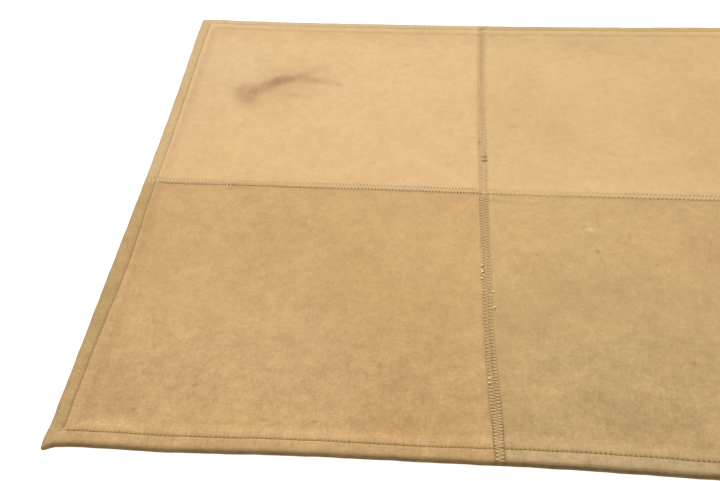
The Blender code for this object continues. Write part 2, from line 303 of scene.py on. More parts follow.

# ------ marks and painted shade on the suede
# Patches of another tone; the last two are painted shade and painted light at the cross seam.
# Columns: x, y, half length, half width (mm), turned from x (degrees), change of each colour (%).
PATCHES = (
    (162, 334, 60, 45, 60, -3, -4.5, -6), (300, 345, 42, 36, 0, 5, 5, 3.5),
    (30, 300, 32, 120, 0, -3.5, -5, -6), (262, 270, 40, 100, 25, 0.5, -1, -4.5),
    (372, 285, 40, 65, 0, 6, 6, 3), (310, 130, 60, 110, 25, -5, -6, -8),
    (206, 150, 75, 95, 20, -2.5, 0, 4), (46, 70, 32, 28, 0, -10, -10, -9),
    (158, 42, 50, 14, 0, 3, 3.5, 0), (200, 85, 150, 40, 0, -2, -1.5, 0),
    (334, 44, 60, 26, 0, -6, -8, -12), (440, 335, 55, 80, 0, 6, 4, 2), (570, 320, 45, 55, 20, 7, 6, 4),
    (640, 310, 45, 60, 20, -4, -7.5, -7), (480, 205, 90, 50, 20, -6, -5.5, -7),
    (520, 55, 130, 60, 0, -12, -11, -13), (600, 160, 80, 80, 0, -7, -6, -6),
    (78, 680, 55, 60, 0, -3.5, 1.5, 6), (240, 765, 270, 26, 0, -5, -4, -5),
    (38, 610, 28, 150, 0, -5, -4.5, -2), (140, 635, 62, 52, 15, -10, -12.5, -14),
    (230, 500, 110, 60, 0, 1.5, 0, -2), (542, 752, 34, 24, 0, -7, -8, -8),
    (600, 745, 130, 34, 0, -6, -6, -6), (595, 585, 85, 26, 118, -3.5, -4.5, -6.5),
    (690, 610, 62, 190, 0, -6, -9, -13), (450, 585, 60, 90, 0, -3, -5, -7.5),
    (500, 550, 60, 60, 0, -2, -3.5, -6), (394, 605, 5, 32, 0, 2, -3, -2),
    (64, 46, 42, 20, 0, -6, -5, -2), (98, 112, 45, 40, 0, 0, 3, 6.5),
    (74, 335, 44, 26, 0, -2.5, -4.5, -7), (68, 462, 50, 34, 0, -1, -3.5, -7),
    (44, 764, 20, 14, 0, -5, -5, -4), (215, 616, 45, 34, 0, 1.5, 4, 8), (86, 656, 26, 26, 0, 0, 4, 6),
    (672, 478, 40, 26, 0, -2, -6, -9), (724, 682, 30, 26, 0, 0, 4.5, 9),
    (148, 556, 60, 16, 0, -2.5, -4, -5), (336, 206, 50, 34, 0, -1, -2, -5),
    (500, 126, 42, 32, 0, 0.5, 4, 5.5), (388, 50, 7, 34, 0, 9, 9, 9),
    # painted shade on the lit slope behind the cross seam's lap (y 412), painted light lifting the
    # shadow line at its joint (y 397)
    (150, 412, 150, 13, 0, -6, -7.5, -11.5), (450, 397, 36, 2.5, 0, 12, 12, 14),
)

# Soft brush strokes of the brown stain.  Columns: as above, strength as the last.
STAIN = (
    (92, 604, 26, 16, 96, 0.56), (117, 622, 25, 13, 50, 0.64), (136, 638, 16, 12, 20, 0.69),
    (104, 579, 20, 12, 80, 0.24), (161, 643, 22, 13, 2, 0.38), (190, 637, 19, 8.5, -8, 0.32),
    (212, 631, 5, 5, 0, 0.34), (172, 665, 27, 9, 42, 0.26), (107, 689, 12, 5, 0, 0.14),
    (156, 601, 10, 4, 5, 0.18), (136, 600, 28, 18, 10, 0.12),
)

# Small single marks, dark (+) or pale (-).  Columns: as for the stain.
SPECKS = (
    (513.5, 337, 3.2, 2.6, 0, -0.85), (517, 299, 2, 2.6, 0, 0.75), (134, 301, 1.8, 6, 5, 0.45),
    (294, 117, 2.2, 2, 0, 0.85), (121, 83, 2, 2, 0, 0.6), (86, 287, 2.5, 5, 10, 0.22),
    (238, 44, 2.4, 1.8, 0, 0.6), (591, 136, 2.2, 2, 0, 0.75), (70, 49, 2.2, 2, 0, 0.45),
    (451, 291, 2.2, 2.4, 0, 0.45), (447, 42, 2.2, 2, 0, 0.4), (420, 110, 2.2, 2.2, 0, 0.4),
    (160, 312, 2.2, 2.6, 0, 0.4), (214, 239, 2.2, 2.2, 0, 0.4), (192, 43, 2.4, 1.8, 0, 0.4),
    (556, 100, 2.4, 2.2, 0, -0.45), (208, 55, 2.4, 2, 0, -0.4), (563, 63, 2.2, 2, 0, 0.4),
    (166, 239, 9, 3.5, 40, 0.2), (158, 333, 4, 9, 20, 0.16), (437, 541, 2.5, 3, 0, 0.3),
    (470, 655, 2.5, 3, 0, 0.3), (301, 688, 5, 3, 0, 0.22), (395, 501.5, 1.2, 4, 0, 0.75),
    (417, 384, 26, 3, -4, 0.22), (401.5, 474.5, 3.6, 1.7, 0, 0.6), (401.5, 466, 3.6, 1.6, 0, 0.6),
    (575, 575, 2, 3, 0, -0.35), (596, 563, 2, 3, 0, -0.35), (60, 445, 8, 5, 0, 0.1),
    (395, 220, 0.9, 8, 0, 0.35), (400, 131, 0.9, 9, 0, 0.35), (397, 311, 0.9, 10, 0, 0.3),
    (401, 88, 0.8, 15, 0, 0.25), (424, 397, 12, 3, -3, 0.1), (434, 393, 9, 3, 0, 0.1),
    (388, 497.5, 1.6, 3, 0, -0.25),
)

# The zigzag over each seam.  Columns: place along the seam, its first and its other side
# measured from the joint, full step (mm), darkness of the leather under it (dirt and painted
# shade), painted shade of the dents between its threads.
LONG_ZIGZAG = (
    (0, -5.8, 3.2, 4, 0.24, 0.64), (18, -5.5, 3.8, 4, 0.26, 0.5), (34, -5.3, 4.4, 4, 0.28, 0.45),
    (71, -6.4, 4.9, 4.1, 0.4, 0.44), (104, -5.8, 4.8, 4.3, 0.2, 0.48), (140, -6.1, 4.6, 4.7, 0.18, 0.46),
    (178, -6, 4.4, 4.9, 0.16, 0.42), (215, -5.8, 4.9, 5, 0.1, 0.46), (264, -5.5, 4.7, 5, 0.06, 0.42),
    (311, -5.6, 4.4, 5, 0.08, 0.42), (362, -6, 4.8, 4.9, 0.15, 0.44), (398, -5.6, 4.8, 4.8, 0.1, 0.4),
    (404, -5.4, 4.9, 4.8, 0, 0.34), (440, -5.6, 5.2, 4.9, 0, 0.3), (490, -6.2, 6, 5, 0, 0.25),
    (540, -7.6, 7, 5, 0, 0.1), (600, -8.2, 7.4, 5, 0, 0.05), (800, -8.2, 7.4, 5, 0.02, 0.03),
)
CROSS_ZIGZAG = (
    (0, -4.5, 9, 4, 0.07, 0.5), (13, -4, 8.8, 4, 0.06, 0.45), (26, 0.9, 8.3, 4, 0.06, 0.34),
    (34, 0.9, 8.3, 4, 0.06, 0.34), (170, 0.9, 8.3, 4, 0.06, 0.36), (200, -1.4, 8.2, 4, 0.06, 0.44),
    (300, -1.6, 8.6, 4, 0.05, 0.48), (390, -1.6, 8.6, 4, 0.06, 0.6), (410, -1.4, 8.2, 4.8, 0.06, 0.36),
    (600, -1.6, 8.6, 4.8, 0.06, 0.56), (800, -1.2, 9, 4.8, 0.06, 0.5),
)
# Tint of the hem's sewn strip.  Columns: panel's column and row, change of each colour along its
# left or right side, then along its front or back side (%).
STRIP_TINT = (
    (0, 0, -15, -11, -14, -4, -2, 1), (1, 0, -8, -6, -6, 1, 6, 22), (0, 1, -14, -11, -12, -12, -4, 5),
    (1, 1, -8, -6, -6, -18, -15, -15),
)
# Tint of the fold on the mat's left and right sides, greyer.
FOLD_TINT = (-4, 2, 18)
# Dirt and painted shade on the round of the front fold.  Columns: way up the round and on over
# the hem (mm), its strength on the left, on the right panel.
FRONT_DIRT_AND_SHADE = (
    (0, 0.68, 0.7), (2, 0.7, 0.72), (3.3, 0.77, 0.8), (4.2, 0.7, 0.81), (5, 0.63, 0.82),
    (5.5, 0.5, 0.74), (5.9, 0.35, 0.52), (6.7, 0.16, 0.24), (8.1, 0.05, 0.09), (9.6, 0, 0), (400, 0, 0),
)
BACK_DIRT_AND_SHADE, SIDE_DIRT_AND_SHADE = 0.10, (0.34, 0.20)  # the same on the other sides, near and far panels
# Tint of the hem's slope, and where that is: from, fully, until, to (mm from the fold).
SLOPE_TINT = (-1, 0, 2)
SLOPE_BAND = (16, 18, 22, 27)
# Darkness of the groove of the hem's stitches, dirt and painted shade, and painted shade of the dimples
# round its needle holes.
# Columns: panel's column and row, groove along its left or right side, along its front or back
# side, dimples along the one, along the other.
GROOVE = (
    (0, 0, 0.02, 0.04, 0.35, 0.68), (1, 0, 0.03, 0.04, 0.35, 1), (0, 1, 0.02, 0, 0.26, 0.1),
    (1, 1, 0.02, 0, 0.26, 0.08),
)
GROOVE_WIDTH, DIMPLE_WIDTH, PUCKER_WIDTH = 0.7, 1.1, 5  # half widths (mm)
# Painted shade lines along the long seam.  Columns: place along it, the first one's offset from
# the joint (mm) and darkness, the second one's, painted highlight on the raised leather between them.
LONG_LINES = (
    (0, -4.9, 0.4, 3, 0.4, 0.03), (42, -4.5, 0.55, 3.5, 0.55, 0.03), (82, -2, 0.25, 0.8, 0.25, 0),
    (122, -5, 0.16, 0.3, 0.85, 0.04), (172, -3.8, 0.4, 0.4, 0.58, 0.03),
    (232, -4, 0.16, 0.4, 0.28, 0.08), (296, -2.5, 0.4, 1.5, 0.18, 0.08),
    (361, -4.5, 0.3, 1.6, 0.32, 0.05), (398, -4.5, 0.2, 2.5, 0.15, 0.05),
    (404, -5.3, 0.24, 3.8, 0.12, 0.14), (450, -5.3, 0.26, 3.6, 0.08, 0.12),
    (490, -5.3, 0.26, 0, 0.05, 0.04), (560, -5.3, 0.14, -0.8, 0.08, 0), (620, -5.3, 0.06, -1, 0.12, 0),
    (800, -5, 0.04, -1, 0.16, 0),
)
LINE_WIDTH = 1.0  # half width of those lines (mm)
RIDGE = (-0.8, 1.8)  # middle and half width of the raised leather between them (mm)
# Shadow line at the cut edge of the far panels: darkness on the near and on the far ones, more
# of it on the left, from where to where that fades (mm), share left at the hem.
EDGE_LINE = (0.02, 0)
EDGE_LINE_LEFT = (0.15, 0.27)
EDGE_FADE = (190, 290)
EDGE_AT_HEM = 0.25
# Colours of the suede's underside, as shares of its top's.
UNDERSIDE = (0.88, 0.84, 0.80)


def blots(rows, x, y, sharpness=1.0):
    """Sum of soft oval marks, the last column being their strength."""
    total = np.zeros_like(x)
    for left, up, length, width, turn, strength in rows:
        across, away = x / MM - left, y / MM - up
        c, s = math.cos(turn * DEG), math.sin(turn * DEG)
        u, v = (across * c + away * s) / length, (away * c - across * s) / width
        total += strength * np.exp(-(u * u + v * v) ** sharpness)
    return total


def along_seam(rows, place, column):
    """A column of a seam's table at places along it (metres), straight from row to row."""
    table = np.array(rows)
    return np.interp(place / MM, table[:, 0], table[:, column])


def row_for(rows, column, row):
    """The row of a table for one panel, without its first two columns."""
    return next(entry[2:] for entry in rows if entry[:2] == (column, row))


def dye_and_painted_light(colour, a, b, x, y, column, row):
    """Colour of the suede, without its fine grain, as red, green and blue at every point."""
    shares = [1 + blots([entry[:5] + (entry[5 + k] / 100,) for entry in PATCHES], x, y)
              for k in range(3)]
    distance = from_fold(a, b)
    in_strip = 1 - smooth(distance, HEM_STITCH - 1 * MM, HEM_STITCH + 1.5 * MM)
    on_slope = band(distance, *SLOPE_BAND)
    tint = row_for(STRIP_TINT, column, row)
    to_side = smooth(b - a, -4 * MM, 4 * MM)
    strip = [(tint[k] * to_side + tint[3 + k] * (1 - to_side)) / 100 for k in range(3)]
    on_fold = (1 - smooth(distance, 1 * MM, 4 * MM)) * to_side
    across, away = nominal_place(a, b, column, row)
    # painted highlight on the raised leather between the long seam's shade lines
    ridge_highlight = along_seam(LONG_LINES, away, 5) * hump((across - PANEL) / MM - RIDGE[0], RIDGE[1])
    return np.dstack([colour[k] * shares[k] * (1 + ridge_highlight) * (1 + FOLD_TINT[k] / 100 * on_fold)
                      * (1 + strip[k] * in_strip + SLOPE_TINT[k] / 100 * on_slope)
                      for k in range(3)])


def nominal_place(a, b, column, row):
    """Nominal across and away of distances from a panel's outer sides."""
    return (2 * PANEL - a if column else a), (2 * PANEL - b if row else b)


COUNT_STEP = 0.0005
COUNT_GRID = np.arange(-0.02, 0.83, COUNT_STEP)  # places where stitches are counted (metres)


def turns_along(rows, place, column=3):
    """How many full steps a row of stitches has made from its start to a place (metres)."""
    pace = COUNT_STEP / (through(rows, COUNT_GRID / MM, column) * MM)
    return np.interp(place, COUNT_GRID, np.cumsum(pace) - np.cumsum(pace)[0])


def places_of(rows, turns, column=3):
    """Where along its row a stitch is made, the other way round than turns_along()."""
    return np.interp(turns, turns_along(rows, COUNT_GRID, column), COUNT_GRID)


def under_threads(rows, place, off):
    """Darkness of the leather that a seam's zigzag covers, grime and painted shade, off being metres
    from the joint.
    """
    low, high, dark = (through(rows, place / MM, k) for k in (1, 2, 4))
    return dark * band(off, low - 1.2, low + 0.6, high - 0.6, high + 1.2)


def dents(rows, place, off):
    """Turns of the pattern of dents between the threads, and how dark their painted shade is at each
    point.

    A dent lies between two needle holes, on the first side half a step after the hole."""
    low, high, depth = (through(rows, place / MM, k) for k in (1, 2, 5))
    share = (off / MM - (low + high) / 2) / ((high - low) / 2)
    turns = turns_along(rows, place) + np.where(share < 0, 0.5, 0.0)
    deep = smooth(np.abs(share), 0.28, 0.55) * (1 - smooth(np.abs(share), 0.82, 1.08))
    return turns, deep * depth


def dimples(a, b, column, row):
    """Turns of the row of dimples round the hem's needle holes, and how dark their painted shade is."""
    across, away = nominal_place(a, b, column, row)
    distance = from_fold(a, b)
    along_edge = b < a
    turns = turns_along(HEM_PITCH, np.where(along_edge, across, away), 1)
    strength = np.where(along_edge, *row_for(GROOVE, column, row)[:1:-1])
    return turns, strength * hump((distance - HEM_STITCH) / MM, DIMPLE_WIDTH)


def puckers(a, b, column, row):
    """Place along and across the hem for the small creases at its stitches, and their depth, which
    paints light and shade into the colour and sets the bump.
    """
    across, away = nominal_place(a, b, column, row)
    distance = from_fold(a, b)
    along_edge = b < a
    place = np.dstack([np.where(along_edge, across, away), distance * 0.14, along_edge * 0.5])
    near_line = hump((distance - HEM_STITCH) / MM, PUCKER_WIDTH)
    return place, PUCKER[row] * band(distance, *PUCKER_BAND) * (0.5 + 0.5 * near_line)


def marks(a, b, x, y, column, row):
    """Strength of the stain, of the grime and painted shade along seams and hem, and of single specks.
    """
    stain = np.clip(blots(STAIN, x, y, 1.7), 0, 1)
    across, away = nominal_place(a, b, column, row)
    dirt_and_shade = under_threads(LONG_ZIGZAG, away, across - PANEL)
    # painted shade lines along the long seam
    for k in (1, 3):
        off = (across - PANEL) / MM - along_seam(LONG_LINES, away, k)
        dirt_and_shade = dirt_and_shade + along_seam(LONG_LINES, away, k + 1) * hump(off, LINE_WIDTH)
    distance = from_fold(a, b)
    inside = smooth(distance, 8 * MM, 22 * MM)
    if row:
        dirt_and_shade = dirt_and_shade + under_threads(CROSS_ZIGZAG, across, away - PANEL) * inside
    # painted shadow line at the far panels' cut edge
    fade = 1 - smooth(across, EDGE_FADE[0] * MM, EDGE_FADE[1] * MM)
    edge = (EDGE_LINE[row] + EDGE_LINE_LEFT[row] * fade) * hump((PANEL - b) / MM, LINE_WIDTH)
    dirt_and_shade = np.maximum(dirt_and_shade, edge * (EDGE_AT_HEM + (1 - EDGE_AT_HEM) * inside))
    # groove of the hem's stitches: dirt and painted shade
    groove = hump((distance - HEM_STITCH) / MM, GROOVE_WIDTH)
    strength = np.where(b < a, *row_for(GROOVE, column, row)[1::-1])
    return stain, np.maximum(dirt_and_shade, strength * groove), blots(SPECKS, x, y)


def fold_dirt_and_shade(a, b, height, column, row):
    """Dirt and painted shade on the round of the fold, heaviest low down on the front edge."""
    distance = from_fold(a, b)
    on_round = 1 - smooth(distance / MM, 1.0, (5.0, 6.0)[row])
    strength = np.where(b < a, BACK_DIRT_AND_SHADE, SIDE_DIRT_AND_SHADE[row])
    # painted shade: darker lower down the round of the fold
    low = 1 - smooth(height, 2.5 * MM, 6.4 * MM)
    dirt_and_shade = strength * on_round * (0.56 + 0.44 * low)
    if row == 0:
        ends = np.maximum(smooth(a, 3 * MM, 12 * MM), 0.75)
        way = np.minimum(height, 5.9 * MM) + np.maximum(distance - FOLD_RADIUS, 0)
        front = along_seam(FRONT_DIRT_AND_SHADE, way, 1 + column)
        dirt_and_shade = np.where(b < a, front * ends, dirt_and_shade * ends)
    return dirt_and_shade

# ------ materials
class Look:
    """A material and its nodes, whose inputs take plain values or other nodes' outputs."""

    def __init__(self, name):
        self.material = bpy.data.materials.new(name)
        self.material.use_nodes = True
        self.tree = self.material.node_tree
        self.shader = self.tree.nodes["Principled BSDF"].inputs

    def constants(self, values):
        for name, value in values.items():
            self.shader[name].default_value = value

    def feed(self, socket, content):
        if isinstance(content, bpy.types.NodeSocket):
            self.tree.links.new(content, socket)
        else:
            socket.default_value = content

    def add(self, kind, inputs=(), **settings):
        """A node with its properties set, and its inputs, by number or name, fed."""
        made = self.tree.nodes.new("ShaderNode" + kind)
        for key, value in settings.items():
            setattr(made, key, value)
        for socket, content in dict(inputs).items():
            self.feed(made.inputs[socket], content)
        return made

    def point(self, name, output="Fac"):
        """What the mesh stores at its points under a name."""
        return self.add("Attribute", attribute_name=name).outputs[output]

    def math(self, operation, first, second=0.0, third=0.0, clamp=False):
        return self.add("Math", {0: first, 1: second, 2: third}, operation=operation,
                        use_clamp=clamp).outputs[0]

    def mixed(self, mode, factor, first, second):
        """A mix of two colours."""
        return self.add("Mix", {0: factor, 6: first, 7: second}, data_type="RGBA",
                        blend_type=mode).outputs[2]

    def noise(self, scale, detail, stretch=(1, 1, 1), turn=0.0, rough=0.55):
        """A noise in the object's own metres, between 0 and 1."""
        place = self.add("TexCoord").outputs["Object"]
        place = self.add("Mapping", {"Vector": place, "Rotation": (0, 0, turn * DEG),
                                     "Scale": stretch}).outputs["Vector"]
        return self.add("TexNoise", {"Vector": place, "Scale": scale, "Detail": detail,
                                     "Roughness": rough}).outputs["Fac"]

    def relief(self, height, strength, distance):
        bump = self.add("Bump", {"Height": height, "Strength": strength, "Distance": distance})
        self.feed(self.shader["Normal"], bump.outputs["Normal"])


# Grain of the suede.  Columns: scale (per metre), detail, strength, stretch and turn if any.
GRAIN = ((12, 2, 0.10), (28, 3, 0.14), (85, 3, 0.17), (240, 3, 0.17), (850, 2, 0.24),
         (420, 2, 0.08, (1, 0.16, 1), 8))
HUE_SHIFT = ((1.022, 0.990, 0.970, 1), (0.978, 1.010, 1.030, 1))
STAIN_COLOUR = (0.285, 0.163, 0.073, 1)
# Dark colours for grime and painted shade: the first at seams, groove, dents and dark specks, the second
# on the fold.
DIRT_AND_SHADE_COLOUR = (0.160, 0.090, 0.032, 1)
FOLD_DIRT_AND_SHADE_COLOUR = (0.105, 0.058, 0.016, 1)
PALE_COLOUR = (0.640, 0.470, 0.290, 1)


def dent_shade_pattern(look):
    """Painted shade of the dents between a seam's threads, one to a step on each side, and of the hem's
    dimples.
    """
    wave = look.math("COSINE", look.math("MULTIPLY", look.point("dent_turns"), 2 * math.pi))
    wave = look.math("MAXIMUM", look.math("MULTIPLY_ADD", wave, 0.75, 0.25), 0.0)
    uneven = look.math("MULTIPLY_ADD", look.noise(160, 2), 1.2, 0.4)
    depth = look.math("MULTIPLY", look.point("dent_shade_depth"), uneven)
    return look.math("MULTIPLY", wave, depth, clamp=True)


def suede():
    """Matt nap-up leather whose colour, marks and painted light and shade come from the panel's points.
    """
    look = Look("suede")
    level = 1.0
    for scale, detail, strength, *lie in GRAIN:
        value = look.noise(scale, detail, *lie)
        value = look.math("MULTIPLY_ADD", value, strength, 1 - strength / 2)
        level = look.math("MULTIPLY", level, value)
    # the puckers' creases, painted into the colour as light and shade and into the bump
    crease_light_and_shade = look.add("TexNoise", {"Vector": look.point("pucker_place", "Vector"), "Scale": 300.0,
                                   "Detail": 2.0, "Roughness": 0.6})
    crease_light_and_shade = look.math("SUBTRACT", crease_light_and_shade.outputs["Fac"], 0.5)
    crease_light_and_shade = look.math("MULTIPLY_ADD", crease_light_and_shade, look.point("pucker_depth"), 1.0)
    level = look.math("MULTIPLY", level, crease_light_and_shade)
    grain = look.math("SUBTRACT", level, 1.0)
    grain = look.math("MULTIPLY_ADD", grain, look.point("coarseness"), 1.0)
    gray = look.add("CombineColor", {0: grain, 1: grain, 2: grain}).outputs["Color"]
    colour = look.mixed("MULTIPLY", 1.0, look.point("dye_and_painted_light", "Color"), gray)
    hue = look.mixed("MIX", look.noise(26, 2, rough=0.6), *HUE_SHIFT)
    colour = look.mixed("MULTIPLY", 1.0, colour, hue)
    masks = look.add("SeparateColor", {"Color": look.point("marks", "Color")}).outputs

    def soiled_and_shaded(colour, mask, cloud, change, least, tone):
        """The colour with a cloudy mark over it, as strong as its mask says: the stain, and grime with
        painted shade.
        """
        share = look.math("MULTIPLY_ADD", cloud, change, least)
        share = look.math("MULTIPLY", share, masks[mask], clamp=True)
        return look.mixed("MIX", share, colour, tone)

    streaks = look.noise(190, 3, (1, 0.28, 1), -52)
    colour = soiled_and_shaded(colour, "Red", streaks, 0.9, 0.55, STAIN_COLOUR)
    # dirt and painted shade along the seams and the hem's groove
    colour = soiled_and_shaded(colour, "Green", look.noise(520, 3), 0.8, 0.60, DIRT_AND_SHADE_COLOUR)
    # painted shade in the dents between seam threads and in the hem's dimples
    colour = look.mixed("MIX", dent_shade_pattern(look), colour, DIRT_AND_SHADE_COLOUR)
    # dirt and painted shade on the round of the fold
    colour = soiled_and_shaded(colour, "Blue", look.noise(130, 3), 0.7, 0.65, FOLD_DIRT_AND_SHADE_COLOUR)
    for sign, tone in ((1.0, DIRT_AND_SHADE_COLOUR), (-1.0, PALE_COLOUR)):
        speck = look.math("MULTIPLY", look.point("specks"), sign, clamp=True)
        colour = look.mixed("MIX", speck, colour, tone)
    look.feed(look.shader["Base Color"], colour)
    look.constants({"Roughness": 0.95, "Specular IOR Level": 0.15, "Sheen Weight": 0.08,
                    "Sheen Roughness": 0.45, "Sheen Tint": (1.0, 0.86, 0.66, 1)})
    look.relief(level, 0.35, 0.0005)
    return look.material


def plain(name, colour, roughness, grain_scale, grain, relief, twisted=False):
    """A simple worn material: colour, mottling and a little relief, striped if twisted."""
    look = Look(name)
    height = cloud = look.noise(grain_scale, 3)
    dark = tuple(c * (1 - grain) for c in colour) + (1,)
    light = tuple(min(1, c * (1 + grain)) for c in colour) + (1,)
    look.feed(look.shader["Base Color"], look.mixed("MIX", cloud, dark, light))
    look.constants({"Roughness": roughness, "Specular IOR Level": 0.25})
    if twisted:
        height = look.math("SINE", look.math("MULTIPLY", look.point("twist"), 2 * math.pi))
    look.relief(height, 0.6, relief)
    return look.material


def yarn(name, colour, grain):
    """Matt sewing thread."""
    return plain(name, colour, 0.90, 600, grain, 0.0001, twisted=True)


SUEDE = suede()
# painted light: the cut edges are coloured far lighter than the suede, lifting the shade on these walls
CUT_EDGE = plain("cut_edge", (0.800, 0.560, 0.300), 0.95, 700, 0.20, 0.0003)
# dark dots painted as the shade inside the needle holes
HOLE_SHADE = plain("needle_hole_shade", (0.220, 0.120, 0.038), 1.0, 900, 0.3, 0.0001)
THREADS = {name: yarn(name + "_thread", colour, grain) for name, colour, grain in (
    ("beige", (0.595, 0.412, 0.208), 0.20), ("olive", (0.590, 0.420, 0.210), 0.18),
    ("pale", (0.860, 0.650, 0.390), 0.10), ("cream", (0.640, 0.455, 0.250), 0.15),
    ("brown", (0.330, 0.198, 0.074), 0.30), ("tan", (0.380, 0.246, 0.112), 0.25),
    ("sand", (0.540, 0.375, 0.190), 0.20))}

# ------ panels
def grid_distances(strip=False):
    """Distances of the grid lines from a panel's outer side, close together at hem and joint."""
    fold = [share * FOLD_RADIUS for share in FOLD_LINES]
    hem = list(np.arange(FOLD_RADIUS, HEM_END + 4 * MM, HEM_STEP)) + [HEM_TURN, RAW_EDGE]
    groove = [HEM_STITCH + d * MM for d in GROOVE_LINES]
    joint = [PANEL - d * MM for d in JOINT_LINES]
    steps = int((min(joint) - max(hem)) / PLAIN_STEP)
    middle = list(np.linspace(max(hem), min(joint), steps + 1)[1:-1])
    lines = fold + hem + groove + middle + joint
    if strip:
        lines += [PANEL + d * MM for d in UNDER_LINES] + [PANEL + LAP]
    lines = np.unique(np.round(lines, 7))
    keep = np.append(True, np.diff(lines) > LEAST_STEP)
    return lines[keep]


def attribute(mesh, name, kind, top, bottom=None):
    """Stores values at a mesh's points, for a panel those of its top and of its underside."""
    parts = [np.ravel(top)] + ([np.ravel(bottom)] if bottom is not None else [])
    made = mesh.attributes.new(name, kind, "POINT")
    made.data.foreach_set({"FLOAT_COLOR": "color", "FLOAT_VECTOR": "vector"}.get(kind, "value"),
                          np.concatenate(parts).astype(np.float32))


def closed_skin(upper, lower, i, j):
    """Faces over and under the grid's cells i, j, and those of the cut edges between the two."""
    def quads(skin):
        return np.stack((skin[i, j], skin[i + 1, j], skin[i + 1, j + 1], skin[i, j + 1]), axis=1)

    kept = set(zip(i.tolist(), j.tolist()))
    walls = set()
    for p, q in kept:
        for beside, start, end in (((p + 1, q), (p + 1, q), (p + 1, q + 1)),
                                   ((p - 1, q), (p, q), (p, q + 1)),
                                   ((p, q + 1), (p, q + 1), (p + 1, q + 1)),
                                   ((p, q - 1), (p, q), (p + 1, q))):
            if beside not in kept and min(beside) >= 0:
                walls.add((start, end))
    cut = [[int(v) for v in dict.fromkeys((upper[p], upper[q], lower[q], lower[p]))]
           for p, q in sorted(walls)]
    return quads(upper).tolist() + quads(lower)[:, ::-1].tolist(), cut


def paint(mesh, a, b, x, y, top, bottom, column, row, colour):
    """Stores a panel's colour with its painted light, its marks with painted shade, dents, puckers and
    coarseness at its points.
    """
    none, one = 0 * a, 0 * a + 1
    tint = dye_and_painted_light(colour, a, b, x, y, column, row)
    under = np.broadcast_to(np.array(colour) * UNDERSIDE, tint.shape)
    attribute(mesh, "dye_and_painted_light", "FLOAT_COLOR", np.dstack([tint, one]), np.dstack([under, one]))
    # marks: the stain, dirt with painted shade along seams and hem, dirt with painted shade on the fold
    stain, dirt_and_shade, specks = marks(a, b, x, y, column, row)
    folds = [fold_dirt_and_shade(a, b, height, column, row) for height in (top, bottom)]
    attribute(mesh, "marks", "FLOAT_COLOR", np.dstack([stain, dirt_and_shade, folds[0], one]),
              np.dstack([none, none, folds[1], one]))
    attribute(mesh, "specks", "FLOAT", specks, none)

    across, away = nominal_place(a, b, column, row)
    turns, deep = dents(LONG_ZIGZAG, away, across - PANEL)
    if row:
        cross_turns, cross_deep = dents(CROSS_ZIGZAG, across, away - PANEL)
        nearer = PANEL - b < PANEL - a
        turns, deep = np.where(nearer, cross_turns, turns), np.where(nearer, cross_deep, deep)
    hem_turns, hem_deep = dimples(a, b, column, row)
    turns, deep = np.where(hem_deep > deep, hem_turns, turns), np.maximum(hem_deep, deep)
    place, pucker = puckers(a, b, column, row)
    attribute(mesh, "pucker_place", "FLOAT_VECTOR", place, place)
    worn = 1 - smooth(y, FRONT_WEAR[0] * MM, FRONT_WEAR[1] * MM)
    coarse = COARSENESS[row] + FRONT_COARSENESS * worn
    for stored, over, below in (("pucker_depth", pucker, pucker), ("dent_turns", turns, turns),
                                ("dent_shade_depth", deep, none), ("coarseness", coarse, coarse)):
        attribute(mesh, stored, "FLOAT", over, below)


def panel_mesh(name, column, row, colour):
    """The panel's closed skin with its dye and marks, like the solid but finer."""
    a_lines, b_lines = grid_distances(), grid_distances(strip=not row)
    a, b = rounded_corner(*np.meshgrid(a_lines, b_lines, indexing="ij"))
    x, y = real_place(a, b, column, row)
    top, bottom = heights(a, b, x, y, column, row)
    upper = np.arange(a.size).reshape(a.shape)
    lower = upper + a.size
    lower[0, :], lower[:, 0] = upper[0, :], upper[:, 0]
    # the near panel's strip under the lap starts only inside the hem
    cell_a, cell_b = np.meshgrid(a_lines[:-1], b_lines[:-1], indexing="ij")
    cells = np.nonzero((cell_b < PANEL - 1e-6) | (cell_a >= HEM_END - 1e-6))
    faces, cut = closed_skin(upper, lower, *cells)

    points = np.vstack([np.column_stack([x.ravel(), y.ravel(), z.ravel()])
                        for z in (top, bottom)]) + np.array(MAT_ORIGIN)
    mesh = bpy.data.meshes.new(name)
    mesh.from_pydata(points.tolist(), [], faces + cut)
    paint(mesh, a, b, x, y, top, bottom, column, row, colour)
    mesh.materials.append(SUEDE)
    mesh.materials.append(CUT_EDGE)
    mesh.polygons.foreach_set("material_index", [0] * len(faces) + [1] * len(cut))
    skin = bmesh.new()
    skin.from_mesh(mesh)
    unused = [v for v in skin.verts if not v.link_faces]
    bmesh.ops.delete(skin, geom=unused, context="VERTS")
    bmesh.ops.recalc_face_normals(skin, faces=skin.faces)
    skin.to_mesh(mesh)
    skin.free()
    mesh.shade_smooth()
    mesh.set_sharp_from_angle(angle=SHARP_ANGLE * DEG)
    return mesh


def in_scene(name, data):
    made = bpy.data.objects.new(name, data)
    bpy.context.scene.collection.objects.link(made)
    return made


def piece(name, mesh):
    made = in_scene(name, mesh)
    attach(made, "root")
    return made


for node, column, row, slot, colour in PANELS:
    made = piece(node.replace("panel", "leather"), panel_mesh(node, column, row, colour))
    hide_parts(node)

# ------ thread
def body(name, points, faces, look):
    """A smooth mesh with one material, from points in mat coordinates."""
    mesh = bpy.data.meshes.new(name)
    mesh.from_pydata((np.array(points) + MAT_ORIGIN).tolist(), [], faces)
    mesh.materials.append(look)
    mesh.shade_smooth()
    return mesh


